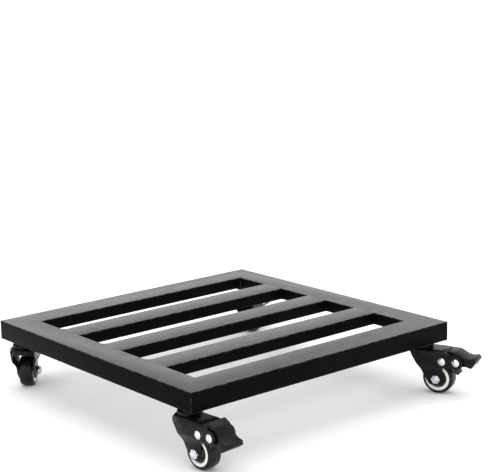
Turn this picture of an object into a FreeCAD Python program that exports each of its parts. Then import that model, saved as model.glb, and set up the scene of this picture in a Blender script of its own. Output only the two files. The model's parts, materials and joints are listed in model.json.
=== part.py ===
import FreeCAD, Part

import math
import os

import Sketcher

"""Square steel plant pot caddy on four braked swivel casters.

The origin is the centre of the deck's top face. X runs along the slats, Y
along the side rails and Z up. The corner at -X -Y is front_left. A caster is
drawn in its own frame, with the swivel axis at the origin, the trail towards
+X and heights still counted from the deck's top face, and is then turned to
its heading and moved to its corner.
"""

SIZES = {
    # deck
    "deck_length": 508.0,
    "deck_width": 508.0,
    "end_rail_width": 51.0,
    "side_rail_width": 46.0,
    "skirt_depth": 30.0,
    "inner_leg_depth": 19.0,
    "rail_wall": 2.0,
    "slat_width": 47.0,
    "slat_depth": 19.0,
    "slat_wall": 1.5,
    # caster mounting
    "caster_inset_side": 21.0,
    "caster_inset_end": 33.0,
    "plate_thickness": 4.0,
    "plate_clearance": 0.2,
    "stem_radius": 5.0,
    "stem_flats": 17.0,
    "weld_nut_height": 8.0,
    "lock_nut_height": 8.0,
    "collar_radius": 8.5,
    "collar_height": 4.5,
    "stem_head_radius": 8.0,
    "stem_head_height": 3.0,
    # swivel
    "race_cap_radius": 17.0,
    "race_cap_height": 5.5,
    "race_cap_wall": 2.0,
    "race_cap_round": 1.6,
    "ball_radius": 1.95,
    "ball_circle": 10.5,
    "swivel_gap": 0.6,
    "running_clearance": 0.06,
    "crown_radius": 21.5,
    "crown_skirt": 8.5,
    "fork_wall": 2.0,
    # fork
    "trail": 28.0,
    "wheel_headroom": 22.4,
    "fork_half_width": 19.5,
    "leg_half_width": 14.5,
    "leg_lead": 15.5,
    "leg_tail": 10.0,
    "leg_end": 10.5,
    "leg_front": 13.5,
    "nose_round": 2.0,
    "shoulder_round": 5.0,
    "leg_end_round": 9.0,
    "throat_round": 4.0,
    "cheek_bend": 5.0,
    "crown_round": 3.0,
    "rim_round": 0.8,
    # wheel
    "wheel_radius": 25.0,
    "tread_thickness": 4.8,
    "tread_width": 23.0,
    "tread_round": 4.0,
    "rim_width": 22.0,
    "rim_inner_radius": 15.8,
    "dish_depth": 4.0,
    "hub_cap_thickness": 1.4,
    "hub_cap_clearance": 1.0,
    "sleeve_radius": 6.0,
    "axle_radius": 4.0,
    "axle_flats": 13.0,
    "axle_nut_height": 5.0,
    "nut_chamfer": 0.8,
    # brake
    "spring_rivet_trail": 38.0,
    "spring_rivet_drop": 17.2,
    "pivot_trail": 61.0,
    "pivot_drop": 16.6,
    "pivot_boss": 11.0,
    "rivet_radius": 3.0,
    "rivet_head_radius": 6.0,
    "rivet_head_height": 3.0,
    "pedal_width": 30.0,
    "pedal_wall": 2.0,
    "pedal_root": 14.0,
    "pedal_lift": 5.0,
    "pedal_dip": 8.4,
    "pedal_reach": 31.5,
    "pedal_underside": 6.5,
    "toe_length": 7.0,
    "toe_depth": 12.5,
    "pedal_press": 26.0,
    "shoe_width": 18.0,
    "shoe_thickness": 3.6,
    "shoe_gap": 0.4,
    "shoe_before": 19.0,
    "shoe_after": 1.0,
    "shoe_hub_wall": 2.5,
    # headings of the casters' trails, in degrees from +X
    "heading_front_left": -86.0,
    "heading_front_right": -68.0,
    "heading_back_left": 48.0,
    "heading_back_right": 24.0,
}

SLAT_NAMES = ("front_slat", "middle_slat", "back_slat")
CORNERS = {
    "front_left": (-1, -1),
    "front_right": (1, -1),
    "back_left": (-1, 1),
    "back_right": (1, 1),
}
PRESSED_CORNERS = ("front_left",)
BALLS_PER_RACE = 14
TOUCHING = 1e-6
BARELY = 0.1

Vector = FreeCAD.Vector
Rotation = FreeCAD.Rotation
Placement = FreeCAD.Placement
X_AXIS = Vector(1, 0, 0)
Y_AXIS = Vector(0, 1, 0)
Z_AXIS = Vector(0, 0, 1)
UPRIGHT = Rotation(X_AXIS, 90)

doc = FreeCAD.newDocument("plant_pot_caddy")
sheet = doc.addObject("Spreadsheet::Sheet", "Sizes")


def fill_sheet():
    """Write every driving size to a cell of its own."""
    for row, (name, number) in enumerate(SIZES.items(), start=1):
        sheet.set(f"A{row}", name)
        sheet.set(f"B{row}", str(number))
        sheet.setAlias(f"B{row}", name)
    doc.recompute()


def size(name):
    """Value of one size, read back from the sheet."""
    return float(sheet.get(name))


# ---------------------------------------------------------------- heights


def plate_bottom():
    return -size("inner_leg_depth") - size("plate_thickness")


def race_cap_top():
    return plate_bottom() - size("lock_nut_height") - size("collar_height")


def crown_top():
    return race_cap_top() - size("race_cap_height") - size("swivel_gap")


def axle_height():
    return crown_top() - size("wheel_headroom") - size("wheel_radius")


# ---------------------------------------------------------------- placing


def corner_point(corner):
    """Swivel axis of a corner, at the height of the deck's top face."""
    along, across = CORNERS[corner]
    return Vector(
        along * (size("deck_length") / 2 - size("caster_inset_side")),
        across * (size("deck_width") / 2 - size("caster_inset_end")),
        0,
    )


def caster_placement(corner):
    """Placement that takes a caster's own frame to its corner."""
    return Placement(corner_point(corner), Rotation(Z_AXIS, size("heading_" + corner)))


# ------------------------------------------------------- parametric bodies


def origin_plane(body, role):
    for feature in body.Origin.OriginFeatures:
        if feature.Role == role:
            return feature
    raise ValueError(role)


def outline_sketch(body, name, role, loops):
    """Sketch on an origin plane: closed loops of points given as expressions."""
    sketch = body.newObject("Sketcher::SketchObject", name)
    sketch.AttachmentSupport = [(origin_plane(body, role), "")]
    sketch.MapMode = "FlatFace"
    for loop in loops:
        add_loop(sketch, loop)
    return sketch


def evaluated(expression):
    """Number that an expression on the sheet's cells gives."""
    return float(sheet.evalExpression(expression))


def add_loop(sketch, loop):
    """Add one closed loop of lines, each corner held by two bound distances."""
    points = [Vector(evaluated(across), evaluated(up), 0) for across, up in loop]
    first = sketch.GeometryCount
    count = len(points)
    for index, point in enumerate(points):
        sketch.addGeometry(Part.LineSegment(point, points[(index + 1) % count]), False)
    for index in range(count):
        edge = first + index
        after = first + (index + 1) % count
        sketch.addConstraint(Sketcher.Constraint("Coincident", edge, 2, after, 1))
    for index, (across, up) in enumerate(loop):
        for kind, expression in (("DistanceX", across), ("DistanceY", up)):
            value = points[index].x if kind == "DistanceX" else points[index].y
            number = sketch.addConstraint(
                Sketcher.Constraint(kind, -1, 1, first + index, 1, value)
            )
            sketch.setExpression(f"Constraints[{number}]", expression)


def new_body(label):
    body = doc.addObject("PartDesign::Body", label)
    body.Label = label
    return body


def turned_body(label, outline, corner_rounds=()):
    """Body turned about Z from a half outline of (radius, height) expressions."""
    body = new_body(label)
    sketch = outline_sketch(body, label + "_outline", "XZ_Plane", [outline])
    turn = body.newObject("PartDesign::Revolution", label + "_turn")
    turn.Profile = sketch
    turn.ReferenceAxis = (sketch, ["V_Axis"])
    turn.Angle = 360
    doc.recompute()
    for radius_name, radius, height in corner_rounds:
        round_circle(body, radius_name, radius, height)
    return body


def round_circle(body, radius_name, radius, height):
    """Fillet the circular edges of a turned body at one radius and height."""
    names = []
    for index, edge in enumerate(body.Shape.Edges, start=1):
        if not isinstance(edge.Curve, Part.Circle):
            continue
        centre = edge.Curve.Center
        if abs(edge.Curve.Radius - radius) < 0.01 and abs(centre.z - height) < 0.01:
            names.append(f"Edge{index}")
    base = body.Tip
    fillet = body.newObject("PartDesign::Fillet", body.Name + "_round")
    fillet.Base = (base, names)
    fillet.setExpression("Radius", "Sizes." + radius_name)
    body.Tip = fillet
    doc.recompute()


# -------------------------------------------------------------------- deck


def rail(label, length, width, mate_width, placement):
    """Folded channel, deep outer leg and shallow inner leg, mitred at both ends.

    It is drawn with its outer top edge on X and its width towards +Y.
    """
    body = new_body(label)
    wall = "Sizes.rail_wall"
    section = [
        ("0", "0"),
        (f"Sizes.{width}", "0"),
        (f"Sizes.{width}", "-Sizes.inner_leg_depth"),
        (f"Sizes.{width} - {wall}", "-Sizes.inner_leg_depth"),
        (f"Sizes.{width} - {wall}", f"-{wall}"),
        (wall, f"-{wall}"),
        (wall, "-Sizes.skirt_depth"),
        ("0", "-Sizes.skirt_depth"),
    ]
    sketch = outline_sketch(body, label + "_section", "YZ_Plane", [section])
    pad = body.newObject("PartDesign::Pad", label + "_channel")
    pad.Profile = sketch
    pad.SideType = "Symmetric"
    pad.setExpression("Length", f"Sizes.{length}")
    doc.recompute()
    full = body.Shape.Volume
    mitres = []
    for sign in ("", "-"):
        mitres.append(
            [
                (f"{sign}Sizes.{length} / 2", "0"),
                (f"{sign}Sizes.{length} / 2", f"Sizes.{width}"),
                (f"{sign}(Sizes.{length} / 2 - Sizes.{mate_width})", f"Sizes.{width}"),
            ]
        )
    ends = outline_sketch(body, label + "_mitres", "XY_Plane", mitres)
    cut = body.newObject("PartDesign::Pocket", label + "_mitre_cut")
    cut.Profile = ends
    cut.Type = "ThroughAll"
    cut.SideType = "Symmetric"
    doc.recompute()
    if body.Shape.Volume >= full:
        raise RuntimeError(label + ": the mitres cut nothing")
    body.Placement = placement
    return body


def rails():
    half_length = size("deck_length") / 2
    half_width = size("deck_width") / 2
    ends = ("deck_length", "end_rail_width", "side_rail_width")
    sides = ("deck_width", "side_rail_width", "end_rail_width")
    places = {
        "front_rail": (ends, Vector(0, -half_width, 0), 0),
        "back_rail": (ends, Vector(0, half_width, 0), 180),
        "right_rail": (sides, Vector(half_length, 0, 0), 90),
        "left_rail": (sides, Vector(-half_length, 0, 0), -90),
    }
    made = []
    for label, (names, point, angle) in places.items():
        made.append(rail(label, *names, Placement(point, Rotation(Z_AXIS, angle))))
    return made


def slat(label, centre_y):
    """Rectangular tube that runs between the side rails' inner legs."""
    body = new_body(label)
    wall = "Sizes.slat_wall"
    outer = [
        ("-Sizes.slat_width / 2", "0"),
        ("Sizes.slat_width / 2", "0"),
        ("Sizes.slat_width / 2", "-Sizes.slat_depth"),
        ("-Sizes.slat_width / 2", "-Sizes.slat_depth"),
    ]
    inner = [
        (f"-Sizes.slat_width / 2 + {wall}", f"-{wall}"),
        (f"Sizes.slat_width / 2 - {wall}", f"-{wall}"),
        (f"Sizes.slat_width / 2 - {wall}", f"-Sizes.slat_depth + {wall}"),
        (f"-Sizes.slat_width / 2 + {wall}", f"-Sizes.slat_depth + {wall}"),
    ]
    sketch = outline_sketch(body, label + "_section", "YZ_Plane", [outer, inner])
    pad = body.newObject("PartDesign::Pad", label + "_tube")
    pad.Profile = sketch
    pad.SideType = "Symmetric"
    pad.setExpression("Length", "Sizes.deck_length - 2 * Sizes.side_rail_width")
    doc.recompute()
    body.Placement = Placement(Vector(0, centre_y, 0), Rotation())
    return body


def slats():
    """Slats with equal slots between them and the end rails."""
    count = len(SLAT_NAMES)
    clear = size("deck_width") - 2 * size("end_rail_width") - count * size("slat_width")
    pitch = clear / (count + 1) + size("slat_width")
    return [
        slat(name, (index - (count - 1) / 2) * pitch)
        for index, name in enumerate(SLAT_NAMES)
    ]


def corner_plate(corner):
    """Plate welded between the skirts of a corner, bored for the stem."""
    label = "corner_plate_" + corner
    along, across = ("-" if sign > 0 else "" for sign in CORNERS[corner])
    body = new_body(label)
    near_x = "(Sizes.rail_wall - Sizes.caster_inset_side)"
    near_y = "(Sizes.rail_wall - Sizes.caster_inset_end)"
    far_x = "(Sizes.side_rail_width - Sizes.caster_inset_side)"
    far_y = "(Sizes.end_rail_width - Sizes.caster_inset_end)"
    outline = [
        (along + near_x, across + near_y),
        (along + far_x, across + near_y),
        (along + far_x, across + far_y),
        (along + near_x, across + far_y),
    ]
    sketch = outline_sketch(body, label + "_outline", "XY_Plane", [outline])
    bore = size("stem_radius") + size("plate_clearance")
    hole = sketch.addGeometry(Part.Circle(Vector(), Z_AXIS, bore), False)
    sketch.addConstraint(Sketcher.Constraint("Coincident", -1, 1, hole, 3))
    number = sketch.addConstraint(Sketcher.Constraint("Radius", hole, bore))
    sketch.setExpression(f"Constraints[{number}]", "Sizes.stem_radius + Sizes.plate_clearance")
    pad = body.newObject("PartDesign::Pad", label + "_plate")
    pad.Profile = sketch
    pad.setExpression("Length", "Sizes.plate_thickness")
    doc.recompute()
    body.Placement = Placement(corner_point(corner) + Vector(0, 0, plate_bottom()), Rotation())
    return body


# --------------------------------------------------------------- fasteners


def hexagon_blank(name, flats, height):
    """Hexagon prism with its lower face at the origin and chamfered upper corners."""
    corners = f"Sizes.{flats} / sqrt(3)"
    prism = doc.addObject("Part::Prism", name + "_prism")
    prism.Polygon = 6
    prism.setExpression("Circumradius", corners)
    prism.setExpression("Height", f"Sizes.{height}")
    crown = doc.addObject("Part::Cone", name + "_crown")
    crown.setExpression("Radius1", f"{corners} + Sizes.{height} - Sizes.nut_chamfer")
    crown.setExpression("Radius2", f"{corners} - Sizes.nut_chamfer")
    crown.setExpression("Height", f"Sizes.{height}")
    blank = doc.addObject("Part::Common", name + "_blank")
    blank.Base = prism
    blank.Tool = crown
    return blank


def hexagon_nut(name, flats, height, bore):
    """Chamfered hexagon nut, bored to sit on its thread."""
    drill = cylinder(name + "_drill", f"Sizes.{bore}", f"Sizes.{height}")
    nut = doc.addObject("Part::Cut", name)
    nut.Base = hexagon_blank(name, flats, height)
    nut.Tool = drill
    return nut


def cylinder(name, radius, height, base=None):
    """Cylinder along Z whose radius and height are expressions."""
    made = doc.addObject("Part::Cylinder", name)
    made.setExpression("Radius", radius)
    made.setExpression("Height", height)
    made.Placement = Placement(base or Vector(), Rotation())
    return made


def group(label, members):
    """One node of separate solids."""
    made = doc.addObject("Part::Compound", label)
    made.Label = label
    made.Links = members
    return made


def mounting_nuts():
    """Weld nuts on the plates and the lock nuts below them."""
    weld_nuts = []
    lock_nuts = []
    for corner in CORNERS:
        point = corner_point(corner)
        weld = hexagon_nut("weld_nut_" + corner, "stem_flats", "weld_nut_height", "stem_radius")
        weld.Placement = Placement(point + Vector(0, 0, -size("inner_leg_depth")), Rotation())
        weld_nuts.append(weld)
        lock = hexagon_nut("lock_nut_" + corner, "stem_flats", "lock_nut_height", "stem_radius")
        lock.Placement = Placement(point + Vector(0, 0, plate_bottom()), Rotation(X_AXIS, 180))
        lock_nuts.append(lock)
    return [group("weld_nuts", weld_nuts), group("lock_nuts", lock_nuts)]


def stem(corner):
    """Threaded stem with its collar above the race and its head below the crown."""
    name = "stem_" + corner
    head_top = crown_top() - size("fork_wall") - size("swivel_gap")
    through = [
        "weld_nut_height",
        "plate_thickness",
        "lock_nut_height",
        "collar_height",
        "race_cap_height",
        "swivel_gap",
        "fork_wall",
        "swivel_gap",
    ]
    shank = cylinder(
        name + "_shank",
        "Sizes.stem_radius",
        " + ".join("Sizes." + part for part in through),
        Vector(0, 0, head_top),
    )
    collar = cylinder(
        name + "_collar",
        "Sizes.collar_radius",
        "Sizes.collar_height",
        Vector(0, 0, race_cap_top()),
    )
    head = cylinder(
        name + "_head",
        "Sizes.stem_head_radius",
        "Sizes.stem_head_height",
        Vector(0, 0, head_top - size("stem_head_height")),
    )
    joined = doc.addObject("Part::MultiFuse", name)
    joined.Shapes = [shank, collar, head]
    joined.Placement = Placement(corner_point(corner), Rotation())
    return joined


def race_cap(corner):
    """Dished cap over the ball race, with a rounded rim."""
    label = "race_cap_" + corner
    radius = "Sizes.race_cap_radius"
    wall = "Sizes.race_cap_wall"
    depth = "-Sizes.race_cap_height"
    outline = [
        ("Sizes.stem_radius", "0"),
        (radius, "0"),
        (radius, depth),
        (f"{radius} - {wall}", depth),
        (f"{radius} - {wall}", f"-{wall}"),
        ("Sizes.stem_radius", f"-{wall}"),
    ]
    rounds = [("race_cap_round", size("race_cap_radius"), 0.0)]
    body = turned_body(label, outline, rounds)
    body.Placement = Placement(corner_point(corner) + Vector(0, 0, race_cap_top()), Rotation())
    return body


def stems_and_races():
    """The stems and the caps that hold the upper races."""
    stems = [stem(corner) for corner in CORNERS]
    caps = [race_cap(corner) for corner in CORNERS]
    return [group("caster_stems", stems), group("race_caps", caps)]


# ------------------------------------------------------------ drawn plates


def rounded_wire(points, radii):
    """Closed wire through points in the XZ plane, with an arc at each corner."""
    corners = [Vector(across, 0, up) for across, up in points]
    count = len(corners)
    joints = []
    for index, corner in enumerate(corners):
        before = (corners[index - 1] - corner).normalize()
        after = (corners[(index + 1) % count] - corner).normalize()
        joints.append(corner_joint(corner, before, after, radii[index]))
    edges = []
    for index, (start, middle, end) in enumerate(joints):
        if middle is not None:
            edges.append(Part.Arc(start, middle, end).toShape())
        onward = joints[(index + 1) % count][0]
        if end.distanceToPoint(onward) > TOUCHING:
            edges.append(Part.LineSegment(end, onward).toShape())
    return Part.Wire(edges)


def corner_joint(corner, before, after, radius):
    """Start, middle and end of the arc at one corner; no middle if it is sharp."""
    if radius == 0:
        return corner, None, corner
    half_angle = before.getAngle(after) / 2
    setback = radius / math.tan(half_angle)
    bisector = (before + after).normalize()
    middle = corner + bisector * (radius / math.sin(half_angle) - radius)
    return corner + before * setback, middle, corner + after * setback


def slab(points, radii, half_width):
    """Plate outline in the XZ plane, thickened evenly to both sides."""
    face = Part.Face(rounded_wire(points, radii))
    solid = face.extrude(Vector(0, 2 * half_width, 0))
    return solid.translated(Vector(0, -half_width, 0))


def cross_pin(radius, trail, height, half_length):
    """Cylinder across the caster."""
    start = Vector(trail, -half_length, height)
    return Part.makeCylinder(radius, 2 * half_length, start, Y_AXIS)


def drawn(label, shape, placement):
    """Feature that holds a drawn shape at a caster's placement."""
    made = doc.addObject("Part::Feature", label)
    made.Label = label
    made.Shape = shape.removeSplitter()
    made.Placement = placement
    return made


# -------------------------------------------------------------------- fork


def wheel_centre():
    return Vector(size("trail"), 0, axle_height())


def pivot_point():
    return Vector(size("pivot_trail"), 0, crown_top() - size("pivot_drop"))


def spring_rivet_point():
    return Vector(size("spring_rivet_trail"), 0, crown_top() - size("spring_rivet_drop"))


def fork_side_outline():
    """Outline of a cheek: crown, leading edge, axle end and brake boss."""
    top = crown_top()
    axle = wheel_centre()
    pivot = pivot_point()
    boss = size("pivot_boss")
    shoulder = Vector(-size("leg_front"), 0, top - size("crown_skirt"))
    reach = axle - shoulder
    angle = math.atan2(reach.z, reach.x) - math.asin(size("leg_lead") / reach.Length)
    end_z = axle.z - size("leg_end")
    end_x = shoulder.x + (end_z - shoulder.z) / math.tan(angle)
    points = [
        (-size("leg_front"), top),
        (shoulder.x, shoulder.z),
        (end_x, end_z),
        (axle.x + size("leg_tail"), end_z),
        (axle.x + size("leg_tail"), pivot.z - boss),
        (pivot.x + boss, pivot.z - boss),
        (pivot.x + boss, pivot.z + boss),
        (pivot.x - boss / 2, pivot.z + boss),
        (size("spring_rivet_trail"), top),
    ]
    shoulder_round = size("shoulder_round")
    leg_end_round = size("leg_end_round")
    boss_round = boss - BARELY
    radii = [
        size("nose_round"),
        shoulder_round,
        leg_end_round,
        leg_end_round,
        size("throat_round"),
        boss_round,
        boss_round,
        shoulder_round,
        shoulder_round,
    ]
    return points, radii


def fork_section_wire():
    """Closed outline of the bent sheet, in the YZ plane."""
    top = crown_top()
    wall = size("fork_wall")
    wide = size("fork_half_width")
    narrow = size("leg_half_width")
    bend_high = axle_height() + size("wheel_radius") - wall
    bend_low = bend_high - 2 * (wide - narrow)
    bottom = axle_height() - size("leg_end") - wall
    bend = size("cheek_bend")
    outside = [
        (narrow, bottom, 0),
        (narrow, bend_low, bend),
        (wide, bend_high, bend),
        (wide, top, size("crown_round") + wall),
    ]
    inside = [
        (wide - wall, top - wall, size("crown_round")),
        (wide - wall, bend_high - wall / 2, bend - wall),
        (narrow - wall, bend_low - wall / 2, bend - wall),
        (narrow - wall, bottom, 0),
    ]
    mirrored = [(-across, up, radius) for across, up, radius in reversed(outside)]
    back = [(-across, up, radius) for across, up, radius in reversed(inside)]
    corners = outside + mirrored + back + inside
    wire = rounded_wire([(a, b) for a, b, _ in corners], [radius for _, _, radius in corners])
    wire.rotate(Vector(), Z_AXIS, 90)
    return wire


def fork(corner):
    """Pressed fork: bent sheet trimmed to the cheek outline, under a round crown."""
    points, radii = fork_side_outline()
    half = size("fork_half_width") + size("fork_wall")
    cheeks = slab(points, radii, half)
    length = 4 * size("pivot_trail")
    bent = Part.Face(fork_section_wire()).extrude(Vector(length, 0, 0))
    bent.translate(Vector(-length / 2, 0, 0))
    shape = bent.common(cheeks).fuse(crown_shell())
    bore = size("stem_radius") + size("running_clearance")
    shape = shape.cut(
        Part.makeCylinder(bore, size("crown_skirt"), Vector(0, 0, crown_top() - size("crown_skirt")))
    )
    shape = shape.cut(cross_pin(size("axle_radius"), size("trail"), axle_height(), half))
    for point in (pivot_point(), spring_rivet_point()):
        shape = shape.cut(cross_pin(size("rivet_radius"), point.x, point.z, half))
    return drawn("fork_" + corner, shape, caster_placement(corner))


def crown_shell():
    """Round crown with a rolled shoulder and a short skirt."""
    top = crown_top()
    radius = size("crown_radius")
    wall = size("fork_wall")
    low = top - size("crown_skirt")
    points = [
        (0, top),
        (radius, top),
        (radius, low),
        (radius - wall, low),
        (radius - wall, top - wall),
        (0, top - wall),
    ]
    inner_round = size("crown_round") - wall
    rim = size("rim_round")
    radii = [0, size("crown_round"), rim, rim, inner_round, 0]
    face = Part.Face(rounded_wire(points, radii))
    return face.revolve(Vector(), Z_AXIS, 360)


def race_balls(corner):
    """Ring of balls between the cap and the crown."""
    height = crown_top() + size("ball_radius")
    balls = []
    for index in range(BALLS_PER_RACE):
        angle = 2 * math.pi * index / BALLS_PER_RACE
        ball = doc.addObject("Part::Sphere", f"ball_{corner}_{index}")
        ball.setExpression("Radius", "Sizes.ball_radius")
        ring = size("ball_circle")
        spot = Vector(ring * math.cos(angle), ring * math.sin(angle), height)
        ball.Placement = caster_placement(corner) * Placement(spot, Rotation())
        balls.append(ball)
    return group("race_balls_" + corner, balls)


# -------------------------------------------------------------------- axle


def axle_bolt(corner):
    """Bolt across the fork with its hexagon head on the far cheek."""
    label = "axle_bolt_" + corner
    length = 2 * size("leg_half_width") + size("axle_nut_height")
    shank = cylinder(
        label + "_shank",
        "Sizes.axle_radius",
        "2 * Sizes.leg_half_width + Sizes.axle_nut_height",
        Vector(0, 0, -length),
    )
    bolt = doc.addObject("Part::MultiFuse", label)
    bolt.Label = label
    bolt.Shapes = [hexagon_blank(label + "_head", "axle_flats", "axle_nut_height"), shank]
    seat = Placement(
        Vector(size("trail"), size("leg_half_width"), axle_height()), Rotation(X_AXIS, -90)
    )
    bolt.Placement = caster_placement(corner) * seat
    return bolt


def axle_nut(corner):
    """Nut on the near end of the axle bolt."""
    nut = hexagon_nut("axle_nut_" + corner, "axle_flats", "axle_nut_height", "axle_radius")
    nut.Label = "axle_nut_" + corner
    seat = Placement(
        Vector(size("trail"), -size("leg_half_width"), axle_height()), Rotation(X_AXIS, 90)
    )
    nut.Placement = caster_placement(corner) * seat
    return nut


def axle_sleeve(corner):
    """Spacer tube between the fork's legs, which the wheel turns on."""
    label = "axle_sleeve_" + corner
    length = "2 * (Sizes.leg_half_width - Sizes.fork_wall)"
    outer = cylinder(label + "_outer", "Sizes.sleeve_radius", length)
    bore = "Sizes.axle_radius + Sizes.running_clearance"
    inner = cylinder(label + "_bore", bore, length)
    tube = doc.addObject("Part::Cut", label)
    tube.Label = label
    tube.Base = outer
    tube.Tool = inner
    cheek = size("leg_half_width") - size("fork_wall")
    seat = Placement(Vector(size("trail"), cheek, axle_height()), UPRIGHT)
    tube.Placement = caster_placement(corner) * seat
    return tube


# ------------------------------------------------------------------- wheel


def wheel_seat(corner):
    """Placement that lays a body turned about Z on the axle."""
    return caster_placement(corner) * Placement(wheel_centre(), UPRIGHT)


def tread(corner):
    """Tyre with rounded shoulders, moulded on the wheel core."""
    label = "tread_" + corner
    inner = "Sizes.wheel_radius - Sizes.tread_thickness"
    half = "Sizes.tread_width / 2"
    outline = [
        (inner, f"-{half}"),
        ("Sizes.wheel_radius", f"-{half}"),
        ("Sizes.wheel_radius", half),
        (inner, half),
    ]
    edge = size("tread_width") / 2
    rounds = [
        ("tread_round", size("wheel_radius"), edge),
        ("tread_round", size("wheel_radius"), -edge),
    ]
    body = turned_body(label, outline, rounds)
    body.Placement = wheel_seat(corner)
    return body


def wheel_core(corner):
    """Moulded core: hub, thin web in a dish on each side, and pale rim."""
    label = "wheel_core_" + corner
    outer = "Sizes.wheel_radius - Sizes.tread_thickness"
    bore = "Sizes.sleeve_radius + Sizes.running_clearance"
    rim = "Sizes.rim_width / 2"
    floor = "Sizes.rim_width / 2 - Sizes.dish_depth"
    inside = "Sizes.rim_inner_radius"
    outline = [
        (bore, f"-({floor})"),
        (inside, f"-({floor})"),
        (inside, f"-{rim}"),
        (outer, f"-{rim}"),
        (outer, rim),
        (inside, rim),
        (inside, floor),
        (bore, floor),
    ]
    body = turned_body(label, outline)
    body.Placement = wheel_seat(corner)
    return body


def hub_cap(corner, side):
    """Dark dished cover of the hub, with one raised ring."""
    label = f"hub_cap_{corner}_{side}"
    floor = "Sizes.rim_width / 2 - Sizes.dish_depth"
    wall = "Sizes.hub_cap_thickness"
    bore = "Sizes.sleeve_radius + Sizes.hub_cap_clearance"
    rim = "Sizes.rim_inner_radius"
    ring = "(Sizes.sleeve_radius + Sizes.rim_inner_radius) / 2"
    outline = [
        (bore, floor),
        (rim, floor),
        (rim, f"{floor} + {wall}"),
        (f"{ring} + {wall}", f"{floor} + {wall}"),
        (f"{ring} + {wall}", f"{floor} + 2 * {wall}"),
        (ring, f"{floor} + 2 * {wall}"),
        (ring, f"{floor} + {wall}"),
        (bore, f"{floor} + {wall}"),
    ]
    body = turned_body(label, outline)
    flip = Rotation(X_AXIS, 0 if side == "near" else 180)
    body.Placement = wheel_seat(corner) * Placement(Vector(), flip)
    return body


# ------------------------------------------------------------------- brake


def rivet(corner, kind, point):
    """Rivet across the cheeks with a domed head at each end."""
    half = size("fork_half_width")
    radius = size("rivet_head_radius")
    height = size("rivet_head_height")
    dome_radius = (radius**2 + height**2) / (2 * height)
    pin = cross_pin(size("rivet_radius"), point.x, point.z, half)
    for sign in (-1, 1):
        centre = Vector(point.x, sign * (half + height - dome_radius), point.z)
        ball = Part.makeSphere(dome_radius, centre)
        outside = Part.makeCylinder(
            radius, height, Vector(point.x, sign * half, point.z), Y_AXIS * sign
        )
        pin = pin.fuse(ball.common(outside))
    return drawn(f"{kind}_rivet_{corner}", pin, caster_placement(corner))


def brake_rivets(corner):
    """The pedal's pivot and the spring's anchor."""
    pivot = rivet(corner, "pivot", pivot_point())
    spring = rivet(corner, "spring", spring_rivet_point())
    return group("brake_rivets_" + corner, [pivot, spring])


def pressed_by(corner):
    """Angle the pedal of a corner is pressed by, in degrees."""
    return size("pedal_press") if corner in PRESSED_CORNERS else 0


def pedal_outline():
    """Side of the brake pedal: flat root, slope to a dip, and upturned toe.

    Each point is (trail, height, round). The slope and the dip keep their
    shares of the reach.
    """
    pivot = pivot_point()
    reach = size("pedal_reach")
    top = pivot.z + size("pivot_boss") + size("pedal_lift")
    dip = top - size("pedal_dip")
    low = pivot.z - size("pedal_underside")
    tip = pivot.x + reach
    toe = tip - size("toe_length")
    wall = size("pedal_wall")
    upper = [
        (pivot.x - size("pedal_root"), top + wall / 4, wall / 2),
        (pivot.x - wall, top, 3 * wall),
        (pivot.x + 0.4 * reach, dip + wall / 2, 3 * wall),
        (pivot.x + 0.64 * reach, dip, 2 * wall),
        (toe + size("toe_length") / 2, dip + wall, wall / 2),
        (tip, dip - 1.5 * wall, wall / 2),
    ]
    lower = [
        (toe, dip - 1.5 * wall - size("toe_depth"), 2 * wall),
        (pivot.x + reach / 2, low + wall / 2, 3 * wall),
        (pivot.x + 2 * size("rivet_radius"), low, wall),
        (pivot.x - size("pedal_underside"), low, 2 * wall),
    ]
    return upper, lower


def brake_pedal(corner):
    """Pressed pedal with side flanges that turn on the pivot rivet."""
    upper, lower = pedal_outline()
    corners = upper + lower
    half = size("pedal_width") / 2
    wall = size("pedal_wall")
    shape = slab([(a, b) for a, b, _ in corners], [r for _, _, r in corners], half)
    hollow = [(a, b - wall, r) for a, b, r in upper[:4]]
    hollow[0] = (upper[0][0] - 2 * wall, upper[0][1] - wall, 0)
    lip = upper[4][0] - wall
    hollow.append((lip, upper[4][1] - 2 * wall, 0))
    hollow.append((lip, lower[2][1] - wall, 0))
    hollow.append((hollow[0][0], lower[2][1] - wall, 0))
    inside = slab([(a, b) for a, b, _ in hollow], [r for _, _, r in hollow], half - wall)
    shape = shape.cut(inside)
    pivot = pivot_point()
    hole = size("rivet_radius") + size("running_clearance")
    shape = shape.cut(cross_pin(hole, pivot.x, pivot.z, half + wall))
    shape.rotate(pivot, Y_AXIS, pressed_by(corner))
    return drawn("brake_pedal_" + corner, shape, caster_placement(corner))


def shoe_pad():
    """Arched pad round the tread, below the line from the axle to the pivot."""
    axle = wheel_centre()
    across = pivot_point() - axle
    half = size("shoe_width") / 2
    inner = size("wheel_radius") + size("shoe_gap")
    outer = inner + size("shoe_thickness")
    aim = math.degrees(math.atan2(across.z, across.x))
    start = aim - size("shoe_before")
    sweep = size("shoe_before") + size("shoe_after")
    face = Part.makePlane(outer - inner, 2 * half, Vector(inner, -half, 0), Z_AXIS)
    pad = face.revolve(Vector(), Y_AXIS, -sweep)
    pad.rotate(Vector(), Y_AXIS, -start)
    return pad.translated(axle)


def shoe_arm():
    """Web from the pivot into the pad, as wide as the pad."""
    pivot = pivot_point()
    axle = wheel_centre()
    half = size("shoe_width") / 2
    hub = size("rivet_radius") + size("shoe_hub_wall")
    toward = (axle - pivot).normalize()
    side = Vector(toward.z, 0, -toward.x)
    reach = (axle - pivot).Length - size("wheel_radius") - size("shoe_gap")
    seat = pivot + toward * (reach - size("shoe_thickness") / 2)
    low = seat - side * 2 * size("shoe_thickness")
    corners = [pivot + side * hub / 2, pivot - side * hub / 2, low, seat]
    return slab([(point.x, point.z) for point in corners], [0, 0, 0, 0], half)


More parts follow.
